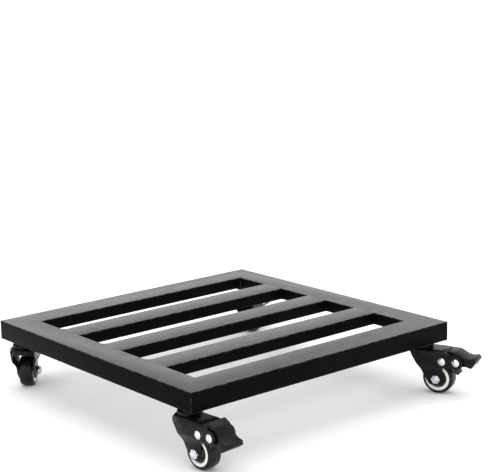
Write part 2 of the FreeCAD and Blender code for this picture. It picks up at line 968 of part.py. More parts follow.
def brake_shoe(corner):
    """Shoe on the pedal's pivot; drawn pressed to the tread, then let off."""
    pivot = pivot_point()
    half = size("shoe_width") / 2
    hub_radius = size("rivet_radius") + size("shoe_hub_wall")
    hub = cross_pin(hub_radius, pivot.x, pivot.z, half)
    shape = shoe_pad().fuse(shoe_arm()).fuse(hub)
    hole = size("rivet_radius") + size("running_clearance")
    shape = shape.cut(cross_pin(hole, pivot.x, pivot.z, 2 * half))
    shape.rotate(pivot, Y_AXIS, pressed_by(corner) - size("pedal_press"))
    return drawn("brake_shoe_" + corner, shape, caster_placement(corner))


# ------------------------------------------------------------------- build


def caster(corner):
    """All pieces of one caster that turn with its fork."""
    caps = [hub_cap(corner, side) for side in ("near", "far")]
    return [
        fork(corner),
        race_balls(corner),
        axle_bolt(corner),
        axle_nut(corner),
        axle_sleeve(corner),
        brake_rivets(corner),
        tread(corner),
        wheel_core(corner),
        group("hub_caps_" + corner, caps),
        brake_pedal(corner),
        brake_shoe(corner),
    ]


def check(nodes):
    """Stop on any failed object, or on a sub-part with no sound solid."""
    for item in doc.Objects:
        if "Invalid" in item.State or "Error" in item.State:
            raise RuntimeError(f"{item.Label}: {item.State}")
    for node in nodes:
        shape = node.Shape
        if shape.isNull() or not shape.isValid() or not shape.Solids:
            raise RuntimeError(f"{node.Label}: no sound solid")


def main():
    fill_sheet()
    nodes = rails() + slats()
    nodes += [corner_plate(corner) for corner in CORNERS]
    nodes += mounting_nuts() + stems_and_races()
    for corner in CORNERS:
        nodes += caster(corner)
    doc.recompute()
    check(nodes)
    os.makedirs("parts", exist_ok=True)
    for node in nodes:
        node.Shape.exportStep(f"parts/{node.Label}.step")
        print(f"{node.Label}: {len(node.Shape.Solids)} solids, {node.Shape.Volume:.0f} mm3")
    print(f"{len(nodes)} sub-parts")


main()
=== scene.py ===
"""Looks of the plant pot caddy: a powder coated deck on four braked swivel casters."""

import json
import logging
import math
from dataclasses import dataclass, field
from enum import Enum
from typing import Iterable, Sequence

import bmesh
import bpy
from mathutils import Matrix, Vector
from mathutils.bvhtree import BVHTree


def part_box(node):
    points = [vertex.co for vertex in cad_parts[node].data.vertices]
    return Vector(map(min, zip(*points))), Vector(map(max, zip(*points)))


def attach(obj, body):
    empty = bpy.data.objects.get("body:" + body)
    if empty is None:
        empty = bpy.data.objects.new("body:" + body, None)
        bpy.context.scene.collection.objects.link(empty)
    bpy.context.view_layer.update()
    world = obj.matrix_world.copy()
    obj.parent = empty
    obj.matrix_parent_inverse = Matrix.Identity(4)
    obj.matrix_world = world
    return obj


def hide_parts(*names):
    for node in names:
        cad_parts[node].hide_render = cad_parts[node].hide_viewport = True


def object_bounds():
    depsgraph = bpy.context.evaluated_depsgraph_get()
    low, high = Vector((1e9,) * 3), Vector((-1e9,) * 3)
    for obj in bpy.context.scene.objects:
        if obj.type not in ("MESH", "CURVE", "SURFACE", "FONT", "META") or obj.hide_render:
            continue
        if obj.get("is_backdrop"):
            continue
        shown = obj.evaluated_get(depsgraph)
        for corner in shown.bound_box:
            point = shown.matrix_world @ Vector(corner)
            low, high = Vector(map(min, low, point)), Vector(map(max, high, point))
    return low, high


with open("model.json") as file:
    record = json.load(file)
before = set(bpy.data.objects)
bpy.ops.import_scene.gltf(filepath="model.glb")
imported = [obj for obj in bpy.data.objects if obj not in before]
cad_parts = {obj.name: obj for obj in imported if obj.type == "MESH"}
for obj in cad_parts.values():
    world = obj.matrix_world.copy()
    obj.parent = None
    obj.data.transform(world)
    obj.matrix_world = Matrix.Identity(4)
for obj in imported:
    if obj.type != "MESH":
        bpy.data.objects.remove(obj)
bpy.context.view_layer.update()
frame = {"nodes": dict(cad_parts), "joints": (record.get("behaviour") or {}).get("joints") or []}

LOG = logging.getLogger("caddy")
MM = 0.001
EDGE_MASK = "edge"
TOP_MASK = "top"
TURN_STEPS = 96
WHEEL_STEPS = 128
PIN_STEPS = 48
RIB_STEPS = 14
MERGE_DISTANCE = 0.002 * MM
SEAM_DISTANCE = 0.001 * MM
FLAT_ANGLE = 0.6
SHARP_ANGLE = 40.0
SMOOTH_ANGLE = 38.0
PRESSED_ANGLE = 44.0
LEVEL_SHARE = 0.98
PARALLEL_SHARE = 0.999
COATING_IOR = 1.5

Profile = list[tuple[float, float]]
Triple = tuple[float, float, float]
Band = tuple[float, float]


class Corner(Enum):
    """The deck's four corners, each with a caster."""

    FRONT_LEFT = "front_left"
    FRONT_RIGHT = "front_right"
    BACK_LEFT = "back_left"
    BACK_RIGHT = "back_right"


class Slot(Enum):
    """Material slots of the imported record."""

    DECK = "deck_powder_coat"
    FORK = "fork_black"
    ZINC = "zinc_plate"
    RIVET = "rivet_steel"
    BALL = "ball_steel"
    TREAD = "tread"
    RIM = "rim_ivory"
    HUB = "hub_black"
    SHOE = "shoe_black"


# ------------------------------------------------------------------ shader maths


class Signal:
    """A shader socket that adds its Math nodes when it is used in an expression."""

    def __init__(self, tree: "ShaderTree", socket: bpy.types.NodeSocket | None) -> None:
        """Wrap one output socket of a tree.

        Args:
            tree: the tree that owns it.
            socket: the output, or none for a node without one.
        """
        self.tree = tree
        self.socket = socket

    def _math(self, operation: str, *values: "float | Signal") -> "Signal":
        """Add one Math node.

        Args:
            operation: the node's operation.
            values: its inputs, numbers or signals.

        Returns:
            The node's output.
        """
        links = dict(enumerate(values))
        return self.tree.add("ShaderNodeMath", {"operation": operation}, links)

    def __add__(self, other: "float | Signal") -> "Signal":
        """Sum."""
        return self._math("ADD", self, other)

    def __radd__(self, other: float) -> "Signal":
        """Sum with a number on the left."""
        return self._math("ADD", other, self)

    def __sub__(self, other: "float | Signal") -> "Signal":
        """Difference."""
        return self._math("SUBTRACT", self, other)

    def __rsub__(self, other: float) -> "Signal":
        """Difference with a number on the left."""
        return self._math("SUBTRACT", other, self)

    def __mul__(self, other: "float | Signal") -> "Signal":
        """Product."""
        return self._math("MULTIPLY", self, other)

    def __rmul__(self, other: float) -> "Signal":
        """Product with a number on the left."""
        return self._math("MULTIPLY", other, self)

    def between(self, low: float, high: float) -> "Signal":
        """Smooth step from 0 at low to 1 at high.

        Args:
            low: value that gives 0.
            high: value that gives 1.

        Returns:
            The stepped signal.
        """
        settings = {"interpolation_type": "SMOOTHSTEP"}
        inputs = {"Value": self, "From Min": low, "From Max": high}
        return self.tree.add("ShaderNodeMapRange", settings, inputs)


class ShaderTree:
    """One material's nodes."""

    def __init__(self, name: str) -> None:
        """Make an empty material.

        Args:
            name: the material's name.
        """
        self.material = bpy.data.materials.new(name)
        self.material.use_nodes = True
        self.nodes = self.material.node_tree.nodes
        self.links = self.material.node_tree.links
        self.nodes.clear()

    def add(
        self,
        kind: str,
        settings: dict[str, object] | None = None,
        inputs: dict[str | int, object] | None = None,
        output: str | int = 0,
    ) -> Signal:
        """Add a node, set it up and feed its inputs.

        Args:
            kind: the node's type name.
            settings: properties that are set first.
            inputs: numbers, colours or signals by socket name or index.
            output: the socket that is returned.

        Returns:
            The chosen output.
        """
        node = self.nodes.new(kind)
        for key, value in (settings or {}).items():
            setattr(node, key, value)
        for key, value in (inputs or {}).items():
            if isinstance(value, Signal):
                self.links.new(value.socket, node.inputs[key])
            else:
                node.inputs[key].default_value = value
        if not node.outputs:
            return Signal(self, None)
        return Signal(self, node.outputs[output])

    def place(self) -> Signal:
        """Object coordinates, in metres."""
        return self.add("ShaderNodeTexCoord", output="Object")

    def stretched(self, scale: Triple) -> Signal:
        """Object coordinates scaled along each axis.

        Args:
            scale: factor along X, Y and Z.

        Returns:
            The scaled coordinates.
        """
        return self.add("ShaderNodeMapping", None, {"Vector": self.place(), "Scale": scale})

    def noise(self, scale: float, detail: float = 4.0, where: Signal | None = None) -> Signal:
        """Fractal noise.

        Args:
            scale: cells per metre.
            detail: octaves.
            where: coordinates, or none for object coordinates.

        Returns:
            The noise, about 0.3 to 0.7.
        """
        inputs = {"Vector": where or self.place(), "Scale": scale, "Detail": detail}
        return self.add("ShaderNodeTexNoise", None, inputs)

    def mix(self, factor: Signal | float, first: Triple, second: Triple) -> Signal:
        """Blend two colours.

        Args:
            factor: 0 gives the first, 1 the second.
            first: linear red, green and blue.
            second: linear red, green and blue.

        Returns:
            The blended colour.
        """
        inputs = {0: factor, 6: (*first, 1.0), 7: (*second, 1.0)}
        return self.add("ShaderNodeMix", {"data_type": "RGBA"}, inputs, output=2)

    def blend(self, factor: Signal, under: Signal, over: Triple) -> Signal:
        """Lay one colour over another.

        Args:
            factor: share of the upper colour.
            under: the lower colour.
            over: linear red, green and blue of the upper colour.

        Returns:
            The blended colour.
        """
        inputs = {0: factor, 6: under, 7: (*over, 1.0)}
        return self.add("ShaderNodeMix", {"data_type": "RGBA"}, inputs, output=2)

    def edge(self) -> Signal:
        """One on the narrow faces that round the piece's edges."""
        return self.add("ShaderNodeAttribute", {"attribute_name": EDGE_MASK}, output="Fac")

    def top(self) -> Signal:
        """One on the faces that look straight up."""
        return self.add("ShaderNodeAttribute", {"attribute_name": TOP_MASK}, output="Fac")

    def bump(self, height: Signal, strength: float, depth: float) -> Signal:
        """Bump from a height.

        Args:
            height: 0 to 1.
            strength: share of the bump that is used.
            depth: height of 1, in metres.

        Returns:
            The bent normal.
        """
        inputs = {"Height": height, "Strength": strength, "Distance": depth}
        return self.add("ShaderNodeBump", None, inputs)

    def surface(self, **sockets: object) -> bpy.types.Material:
        """Finish the material with a Principled shader.

        Args:
            sockets: its inputs, with underscores for spaces.

        Returns:
            The material.
        """
        inputs = {key.replace("_", " "): value for key, value in sockets.items()}
        shader = self.add("ShaderNodeBsdfPrincipled", None, inputs)
        self.add("ShaderNodeOutputMaterial", None, {"Surface": shader})
        return self.material


# ---------------------------------------------------------------------- finishes


@dataclass(frozen=True)
class PowderCoat:
    """Satin black powder coat: orange peel, dust, a burnished top, and lighter patches on the
    rounded edges that are partly wear and partly a painted highlight.
    """

    name: str = "deck_powder_coat"
    shade: Triple = (0.0018, 0.0017, 0.0023)
    dusty: Triple = (0.0048, 0.0044, 0.0042)
    # Colour of the lighter edge patches: partly wear, partly a painted highlight along the
    # rounded edges.
    edge_tint: Triple = (0.085, 0.083, 0.082)
    cloud_cells: float = 24.0
    cloud_band: Band = (0.35, 0.75)
    grain_cells: float = 420.0
    grain_stretch: Triple = (0.06, 1.0, 1.0)
    grain_band: Band = (0.30, 0.72)
    peel_cells: float = 1500.0
    speck_cells: float = 2600.0
    speck_band: Band = (0.60, 0.74)
    # Patches of the rounded edges that take the lighter colour: wear and painted highlight.
    edge_patch_cells: float = 90.0
    edge_patch_band: Band = (0.40, 0.62)
    edge_patch_share: float = 0.6
    dust_clouds: float = 0.6
    dust_specks: float = 0.4
    burnish: float = 0.74
    burnish_clouds: float = 0.14
    streak_loss: float = 0.22
    speck_loss: float = 0.08
    roughness: float = 0.34
    cloud_roughness: float = 0.10
    grain_roughness: float = 0.10
    peel_roughness: float = 0.05
    specular: float = 0.03
    gloss_roughness: float = 0.26
    gloss_ior: float = 1.85
    peel_height: float = 0.7
    grain_height: float = 0.3
    bump_strength: float = 0.18
    bump_depth: float = 0.1 * MM

    def build(self) -> bpy.types.Material:
        """Make the material.

        Returns:
            The finished material.
        """
        tree = ShaderTree(self.name)
        clouds = tree.noise(self.cloud_cells, detail=6.0)
        grain = tree.noise(self.grain_cells, where=tree.stretched(self.grain_stretch))
        peel = tree.noise(self.peel_cells, detail=2.0)
        specks = tree.noise(self.speck_cells, detail=1.0).between(*self.speck_band)
        # Lighter patches on the rounded edges: partly wear, partly a painted highlight.
        edge_patches = tree.edge() * tree.noise(self.edge_patch_cells, detail=5.0).between(*self.edge_patch_band)
        dust = clouds.between(*self.cloud_band) * self.dust_clouds + specks * self.dust_specks
        dusted = tree.mix(dust, self.shade, self.dusty)
        streaks = grain.between(*self.grain_band) * self.streak_loss + specks * self.speck_loss
        polish = tree.top() * (self.burnish - streaks + clouds * self.burnish_clouds)
        rough = self.roughness + clouds * self.cloud_roughness + grain * self.grain_roughness
        height = peel * self.peel_height + grain * self.grain_height
        return tree.surface(
            # The base colour holds the painted edge highlight as well as the dust and wear.
            Base_Color=tree.blend(edge_patches * self.edge_patch_share, dusted, self.edge_tint),
            Roughness=rough + peel * self.peel_roughness,
            IOR=COATING_IOR,
            Specular_IOR_Level=self.specular,
            Coat_Weight=polish,
            Coat_Roughness=self.gloss_roughness,
            Coat_IOR=self.gloss_ior,
            Normal=tree.bump(height, self.bump_strength, self.bump_depth),
        )


@dataclass(frozen=True)
class BlackSteel:
    """Black coat on pressed steel: soft waves, scuffs and bright edges where the coat wears
    through.
    """

    name: str = "fork_black"
    shade: Triple = (0.0028, 0.0028, 0.0034)
    grey: Triple = (0.012, 0.012, 0.013)
    edge_tint: Triple = (0.15, 0.15, 0.155)
    wave_cells: float = 130.0
    fine_cells: float = 1900.0
    scuff_cells: float = 900.0
    scuff_stretch: Triple = (1.0, 0.25, 0.25)
    scuff_band: Band = (0.60, 0.72)
    edge_patch_cells: float = 260.0
    edge_patch_band: Band = (0.40, 0.62)
    edge_patch_share: float = 0.6
    scuff_grey: float = 0.5
    fine_grey: float = 0.2
    roughness: float = 0.26
    scuff_roughness: float = 0.16
    fine_roughness: float = 0.08
    specular: float = 0.10
    gloss: float = 0.06
    wave_gloss: float = 0.08
    gloss_roughness: float = 0.16
    wave_height: float = 0.6
    fine_height: float = 0.4
    bump_strength: float = 0.25
    bump_depth: float = 0.15 * MM

    def build(self) -> bpy.types.Material:
        """Make the material.

        Returns:
            The finished material.
        """
        tree = ShaderTree(self.name)
        waves = tree.noise(self.wave_cells, detail=3.0)
        fine = tree.noise(self.fine_cells, detail=3.0)
        marks = tree.noise(self.scuff_cells, where=tree.stretched(self.scuff_stretch))
        scuffs = marks.between(*self.scuff_band)
        edge_patches = tree.edge() * tree.noise(self.edge_patch_cells, detail=5.0).between(*self.edge_patch_band)
        base = tree.mix(scuffs * self.scuff_grey + fine * self.fine_grey, self.shade, self.grey)
        height = waves * self.wave_height + fine * self.fine_height
        return tree.surface(
            Base_Color=tree.blend(edge_patches * self.edge_patch_share, base, self.edge_tint),
            Roughness=self.roughness + scuffs * self.scuff_roughness + fine * self.fine_roughness,
            IOR=COATING_IOR,
            Specular_IOR_Level=self.specular,
            Coat_Weight=self.gloss + waves * self.wave_gloss,
            Coat_Roughness=self.gloss_roughness,
            Normal=tree.bump(height, self.bump_strength, self.bump_depth),
        )


@dataclass(frozen=True)
class BrightMetal:
    """Plated steel with fine turning marks and a little staining."""

    name: str
    tint: Triple
    stain: Triple
    roughness: float
    cloud_cells: float = 160.0
    stain_band: Band = (0.46, 0.72)
    stain_share: float = 0.5
    edge_share: float = 0.1
    mark_cells: float = 1400.0
    mark_stretch: Triple = (1.0, 1.0, 0.15)
    mark_roughness: float = 0.16
    stain_roughness: float = 0.10
    bump_strength: float = 0.15
    bump_depth: float = 0.06 * MM

    def build(self) -> bpy.types.Material:
        """Make the material.

        Returns:
            The finished material.
        """
        tree = ShaderTree(self.name)
        stained = tree.noise(self.cloud_cells).between(*self.stain_band)
        marks = tree.noise(self.mark_cells, detail=2.0, where=tree.stretched(self.mark_stretch))
        dull = stained * self.stain_share + tree.edge() * self.edge_share
        rough = self.roughness + marks * self.mark_roughness
        return tree.surface(
            Base_Color=tree.mix(dull, self.tint, self.stain),
            Metallic=1.0,
            Roughness=rough + stained * self.stain_roughness,
            Normal=tree.bump(marks, self.bump_strength, self.bump_depth),
        )


@dataclass(frozen=True)
class GlossTread:
    """Glossy black tread with moulding bloom, fine scratches round the rim and dust."""

    name: str = "tread"
    shade: Triple = (0.003, 0.003, 0.0032)
    dusty: Triple = (0.014, 0.0135, 0.013)
    dust_cells: float = 420.0
    dust_band: Band = (0.48, 0.70)
    dust_share: float = 0.55
    scratch_cells: float = 2200.0
    scratch_stretch: Triple = (1.0, 1.0, 0.2)
    roughness: float = 0.26
    dust_roughness: float = 0.20
    scratch_roughness: float = 0.10
    specular: float = 0.22
    bump_strength: float = 0.2
    bump_depth: float = 0.1 * MM

    def build(self) -> bpy.types.Material:
        """Make the material.

        Returns:
            The finished material.
        """
        tree = ShaderTree(self.name)
        dust = tree.noise(self.dust_cells, detail=5.0).between(*self.dust_band)
        across = tree.stretched(self.scratch_stretch)
        scratches = tree.noise(self.scratch_cells, detail=2.0, where=across)
        rough = self.roughness + dust * self.dust_roughness
        return tree.surface(
            Base_Color=tree.mix(dust * self.dust_share, self.shade, self.dusty),
            Roughness=rough + scratches * self.scratch_roughness,
            IOR=COATING_IOR,
            Specular_IOR_Level=self.specular,
            Normal=tree.bump(scratches, self.bump_strength, self.bump_depth),
        )


@dataclass(frozen=True)
class MouldedPlastic:
    """Moulded plastic with a soft sheen, faint flow clouds and fine texture."""

    name: str
    shade: Triple
    second: Triple
    roughness: float
    translucence: float = 0.0
    scatter_depth: float = 2.0 * MM
    cloud_cells: float = 230.0
    cloud_band: Band = (0.38, 0.70)
    cloud_share: float = 0.6
    cloud_roughness: float = 0.10
    grime_cells: float = 800.0
    grime_band: Band = (0.58, 0.78)
    grime_share: float = 0.4
    texture_cells: float = 3200.0
    texture_roughness: float = 0.08
    ior: float = 1.49
    bump_strength: float = 0.2
    bump_depth: float = 0.05 * MM

    def build(self) -> bpy.types.Material:
        """Make the material.

        Returns:
            The finished material.
        """
        tree = ShaderTree(self.name)
        clouds = tree.noise(self.cloud_cells, detail=5.0).between(*self.cloud_band)
        texture = tree.noise(self.texture_cells, detail=2.0)
        grime = tree.noise(self.grime_cells).between(*self.grime_band)
        share = clouds * self.cloud_share + grime * self.grime_share
        rough = self.roughness + clouds * self.cloud_roughness
        return tree.surface(
            Base_Color=tree.mix(share, self.shade, self.second),
            Roughness=rough + texture * self.texture_roughness,
            Subsurface_Weight=self.translucence,
            Subsurface_Scale=self.scatter_depth,
            IOR=self.ior,
            Normal=tree.bump(texture, self.bump_strength, self.bump_depth),
        )


@dataclass(frozen=True)
class PaleFloor:
    """Matt pale studio floor."""

    name: str = "studio_floor"
    shade: Triple = (0.92, 0.92, 0.92)
    second: Triple = (0.90, 0.90, 0.905)
    cloud_cells: float = 3.0
    roughness: float = 0.9
    specular: float = 0.1

    def build(self) -> bpy.types.Material:
        """Make the material.

        Returns:
            The finished material.
        """
        tree = ShaderTree(self.name)
        colour = tree.mix(tree.noise(self.cloud_cells, detail=3.0), self.shade, self.second)
        return tree.surface(
            Base_Color=colour,
            Roughness=self.roughness,
            Specular_IOR_Level=self.specular,
        )


class Finishes:
    """Every material of the caddy, by slot."""

    def __init__(self) -> None:
        """Build them all once."""
        ivory, ivory_aged = (0.84, 0.83, 0.78), (0.70, 0.68, 0.61)
        hub, hub_worn = (0.0065, 0.0065, 0.007), (0.022, 0.022, 0.021)
        shoe, shoe_worn = (0.007, 0.007, 0.007), (0.020, 0.019, 0.018)
        zinc, zinc_dull = (0.72, 0.75, 0.82), (0.42, 0.43, 0.47)
        rivet, rivet_dull = (0.74, 0.74, 0.75), (0.52, 0.51, 0.50)
        ball, ball_dull = (0.80, 0.80, 0.82), (0.60, 0.58, 0.55)
        makers = {
            Slot.DECK: PowderCoat(),
            Slot.FORK: BlackSteel(),
            Slot.ZINC: BrightMetal("zinc_plate", zinc, zinc_dull, roughness=0.14),
            Slot.RIVET: BrightMetal("rivet_steel", rivet, rivet_dull, roughness=0.14),
            Slot.BALL: BrightMetal("ball_steel", ball, ball_dull, roughness=0.10),
            Slot.TREAD: GlossTread(),
            Slot.RIM: MouldedPlastic("rim_ivory", ivory, ivory_aged, 0.36, translucence=0.15),
            Slot.HUB: MouldedPlastic("hub_black", hub, hub_worn, roughness=0.30),
            Slot.SHOE: MouldedPlastic("shoe_black", shoe, shoe_worn, roughness=0.50),
        }
        self.by_slot = {slot: maker.build() for slot, maker in makers.items()}

    def dress(self, piece: bpy.types.Object, slot: Slot) -> None:
        """Give a piece one material.

        Args:
            piece: a mesh object.
            slot: the material's slot.
        """
        piece.data.materials.clear()
        piece.data.materials.append(self.by_slot[slot])


# ------------------------------------------------------------------- mesh making


def arc(
    centre: tuple[float, float], radius: float, start: float, end: float, steps: int
) -> Profile:
    """Points on a circle's arc.

    Args:
        centre: its two coordinates.
        radius: its radius.
        start: first angle, in degrees.
        end: last angle, in degrees.
        steps: spans along the arc.

    Returns:
        The points, from start to end.
    """
    points = []
    for index in range(steps + 1):
        angle = math.radians(start + (end - start) * index / steps)
        across = centre[0] + radius * math.cos(angle)
        points.append((across, centre[1] + radius * math.sin(angle)))
    return points


def turned(profile: Profile, closed: bool, steps: int = TURN_STEPS) -> bmesh.types.BMesh:
    """Spin an outline of (radius, height) about Z.

    Args:
        profile: the outline.
        closed: whether its last point joins its first.
        steps: faces round the turn.

    Returns:
        A closed shape.
    """
    mesh = bmesh.new()
    verts = [mesh.verts.new((radius, 0.0, height)) for radius, height in profile]
    pairs = list(zip(verts, verts[1:]))
    if closed:
        pairs.append((verts[-1], verts[0]))
    edges = [mesh.edges.new(pair) for pair in pairs]
    bmesh.ops.spin(
        mesh,
        geom=verts + edges,
        cent=(0, 0, 0),
        axis=(0, 0, 1),
        angle=2 * math.pi,
        steps=steps,
        use_merge=True,
    )
    bmesh.ops.remove_doubles(mesh, verts=mesh.verts, dist=SEAM_DISTANCE)
    bmesh.ops.recalc_face_normals(mesh, faces=mesh.faces)
    return mesh


def soften(
    mesh: bmesh.types.BMesh,
    width: float,
    steps: int = 2,
    angle: float = SHARP_ANGLE,
    only_along: Vector | None = None,
) -> None:
    """Round the sharp edges and mark the new faces as edge faces.

    Args:
        mesh: the shape.
        width: how far the round reaches from the edge.
        steps: faces across the round.
        angle: edges that turn by more than this are rounded, in degrees.
        only_along: direction of the edges that are rounded, or none for all.
    """
    masks = mesh.faces.layers.float
    layer = masks.get(EDGE_MASK) or masks.new(EDGE_MASK)
    sharp = [
        edge
        for edge in mesh.edges
        if edge.is_manifold and edge.calc_face_angle(0.0) > math.radians(angle)
    ]
    if only_along is not None:
        sharp = [edge for edge in sharp if runs_along(edge, only_along)]
    before = set(mesh.faces)
    result = bmesh.ops.bevel(
        mesh,
        geom=sharp,
        offset=width,
        offset_type="OFFSET",
        affect="EDGES",
        segments=steps,
        profile=0.5,
        material=-1,
        clamp_overlap=True,
    )
    for face in result["faces"]:
        if face.is_valid and face not in before:
            face[layer] = 1.0


def runs_along(edge: bmesh.types.BMEdge, direction: Vector) -> bool:
    """Whether an edge is parallel to a direction."""
    span = (edge.verts[1].co - edge.verts[0].co).normalized()
    return abs(span.dot(direction)) > PARALLEL_SHARE


def merged(node: str) -> bmesh.types.BMesh:
    """Copy of a CAD node with its triangles joined into flat faces.

    Args:
        node: the CAD node.

    Returns:
        The shape, in the caddy's frame.
    """
    mesh = bmesh.new()
    mesh.from_mesh(frame["nodes"][node].data)
    bmesh.ops.remove_doubles(mesh, verts=mesh.verts, dist=MERGE_DISTANCE)
    flat = math.radians(FLAT_ANGLE)
    bmesh.ops.dissolve_limit(mesh, angle_limit=flat, verts=mesh.verts, edges=mesh.edges)
    return mesh


def refined(node: str, width: float, angle: float = SHARP_ANGLE) -> bmesh.types.BMesh:
    """Merged copy of a CAD node with rounded edges.

    Args:
        node: the CAD node.
        width: reach of the rounds.
        angle: sharpest turn that is left alone, in degrees.

    Returns:
        The shape, in the caddy's frame.
    """
    mesh = merged(node)
    soften(mesh, width, angle=angle)
    return mesh


def mark_tops(mesh: bmesh.types.BMesh) -> None:
    """Mark the faces that look straight up.

    Args:
        mesh: the shape.
    """
    layer = mesh.faces.layers.float.new(TOP_MASK)
    mesh.normal_update()
    for face in mesh.faces:
        face[layer] = 1.0 if face.normal.z > LEVEL_SHARE else 0.0


def as_piece(
    name: str, mesh: bmesh.types.BMesh, smooth: float = SMOOTH_ANGLE
) -> bpy.types.Object:
    """Turn a bmesh into an object at the origin.

    Args:
        name: the piece's name.
        mesh: its shape, which is freed.
        smooth: edges that turn by less are shaded smooth, in degrees.

    Returns:
        The new object.
    """
    data = bpy.data.meshes.new(name)
    mesh.to_mesh(data)
    mesh.free()
    data.shade_smooth()
    data.set_sharp_from_angle(angle=math.radians(smooth))
    piece = bpy.data.objects.new(name, data)
    bpy.context.scene.collection.objects.link(piece)
    return piece


@dataclass
class Workshop:
    """Gives each piece its finish and its body, and hides the CAD nodes it stands for."""

    finishes: Finishes

    def fit(
        self,
        name: str,
        mesh: bmesh.types.BMesh,
        slot: Slot,
        body: str,
        replaced: Iterable[str] = (),
        smooth: float = SMOOTH_ANGLE,
    ) -> bpy.types.Object:
        """Make a piece of a shape and fix it to its body.

        Args:
            name: the piece's name.
            mesh: its shape.
            slot: its finish.
            body: the CAD body it moves with.
            replaced: CAD nodes it stands for.
            smooth: shading angle, in degrees.

        Returns:
            The piece.
        """
        piece = as_piece(name, mesh, smooth)
        self.finishes.dress(piece, slot)
        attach(piece, body)
        nodes = list(replaced)
        if nodes:
            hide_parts(*nodes)
        LOG.info("%s rides on %s", name, body)
        return piece

    def keep(self, node: str, slot: Slot) -> None:
        """Dress a CAD node whose shape is right.

        Args:
            node: the CAD node.
            slot: its finish.
        """
        self.finishes.dress(frame["nodes"][node], slot)
        LOG.info("%s keeps its CAD shape", node)


# -------------------------------------------------------------------------- deck


@dataclass
class Deck:
    """Rails, slats, plates and mounting hardware, all on the frame body."""

    shop: Workshop
    body: str = "frame"
    rail_wall: float = 2.0 * MM
    rail_round: float = 1.3 * MM
    slat_round: float = 1.1 * MM
    plate_round: float = 0.5 * MM
    nut_round: float = 0.35 * MM
    cap_round: float = 0.3 * MM
    cap_smooth: float = 50.0
    round_steps: int = 3
    bead_radius: float = 2.6 * MM
    fillet_radius: float = 7.0 * MM
    fillet_steps: int = 8
    fillet_sink: float = 0.25 * MM
    fillet_root: float = 0.5 * MM
    fillet_foot: float = 0.6 * MM
    rails: tuple[str, ...] = ("front_rail", "back_rail", "left_rail", "right_rail")
    slats: tuple[str, ...] = ("front_slat", "middle_slat", "back_slat")

    def build(self) -> None:
        """Make the whole deck."""
        self.shop.fit("rails_coat", self.rail_ring(), Slot.DECK, self.body, self.rails)
        for slat in self.slats:
            self.shop.fit(slat + "_coat", self.slat_tube(slat), Slot.DECK, self.body, [slat])
            self.weld_slat(slat)
        for corner in Corner:
            node = "corner_plate_" + corner.value
            mesh = refined(node, self.plate_round)
            self.shop.fit(node + "_coat", mesh, Slot.DECK, self.body, [node])
        self.shop.keep("weld_nuts", Slot.ZINC)
        nuts = refined("lock_nuts", self.nut_round)
        self.shop.fit("lock_nuts_bright", nuts, Slot.ZINC, self.body, ["lock_nuts"])
        self.shop.keep("caster_stems", Slot.ZINC)
        caps = refined("race_caps", self.cap_round)
        self.shop.fit(
            "race_caps_bright", caps, Slot.FORK, self.body, ["race_caps"], self.cap_smooth
        )

    def rail_ring(self) -> bmesh.types.BMesh:
        """All four rails as one ring, welded and ground flush at the corners.

        Returns:
            The ring, in the caddy's frame.
        """
        low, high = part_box("front_rail")
        end_width = high.y - low.y
        side_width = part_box("left_rail")[1].x - low.x
        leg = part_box("middle_slat")[0].z
        wall = self.rail_wall
        section = [
            (0.0, 0.0, 0.0),
            (side_width, end_width, 0.0),
            (side_width, end_width, leg),
            (side_width - wall, end_width - wall, leg),
            (side_width - wall, end_width - wall, -wall),
            (wall, wall, -wall),
            (wall, wall, low.z),
            (0.0, 0.0, low.z),
        ]
        mesh = bmesh.new()
        loops = []
        for along, across in ((-1, -1), (1, -1), (1, 1), (-1, 1)):
            spots = [(along * (-low.x - x), across * (-low.y - y), z) for x, y, z in section]
            loops.append([mesh.verts.new(spot) for spot in spots])
        for loop, following in zip(loops, loops[1:] + loops[:1]):
            for index, vert in enumerate(loop):
                after = (index + 1) % len(section)
                mesh.faces.new((vert, loop[after], following[after], following[index]))
        bmesh.ops.recalc_face_normals(mesh, faces=mesh.faces)
        soften(mesh, self.rail_round, self.round_steps)
        mark_tops(mesh)
        return mesh

    def slat_tube(self, slat: str) -> bmesh.types.BMesh:
        """Slat with rounded folds, its ends run over the rails' rounded edges.

        Args:
            slat: the slat's node.

        Returns:
            The slat, in the caddy's frame.
        """
        mesh = merged(slat)
        for vert in mesh.verts:
            vert.co.x += math.copysign(self.rail_round, vert.co.x)
        soften(mesh, self.slat_round, self.round_steps, only_along=Vector((1, 0, 0)))
        mark_tops(mesh)
        return mesh

    def weld_slat(self, slat: str) -> None:
        """Run a weld fillet down each corner where a slat meets a side rail.

        Args:
            slat: the slat's node.
        """
        low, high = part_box(slat)
        mesh = bmesh.new()
        for x, inward in ((low.x, 1), (high.x, -1)):
            for y, outward in ((low.y, -1), (high.y, 1)):
                self.add_fillet(mesh, Vector((x, y, high.z)), inward, outward, high.z - low.z)
        bmesh.ops.recalc_face_normals(mesh, faces=mesh.faces)
        self.shop.fit(slat + "_welds", mesh, Slot.DECK, self.body)

    def add_fillet(
        self, mesh: bmesh.types.BMesh, corner: Vector, inward: int, outward: int, depth: float
    ) -> None:
        """Add one concave fillet that fills an inner corner.

        Args:
            mesh: the shape that takes it.
            corner: top of the inner corner.
            inward: direction along X into the slot.
            outward: direction along Y into the slot.
            depth: length down the corner.
        """
        radius = self.fillet_radius if (inward > 0 and outward > 0) else self.bead_radius
        top = corner.z - self.fillet_sink
        root = self.fillet_root
        ring = [Vector((corner.x - inward * root, corner.y - outward * root, top))]
        for across, along in arc((radius, radius), radius, 270.0, 180.0, self.fillet_steps):
            ring.append(Vector((corner.x + inward * across, corner.y + outward * along, top)))
        face = mesh.faces.new([mesh.verts.new(point) for point in ring])
        extruded = bmesh.ops.extrude_face_region(mesh, geom=[face])
        moved = [item for item in extruded["geom"] if isinstance(item, bmesh.types.BMVert)]
        bmesh.ops.translate(mesh, verts=moved, vec=(0, 0, -depth + self.fillet_foot))


# ----------------------------------------------------------------------- casters


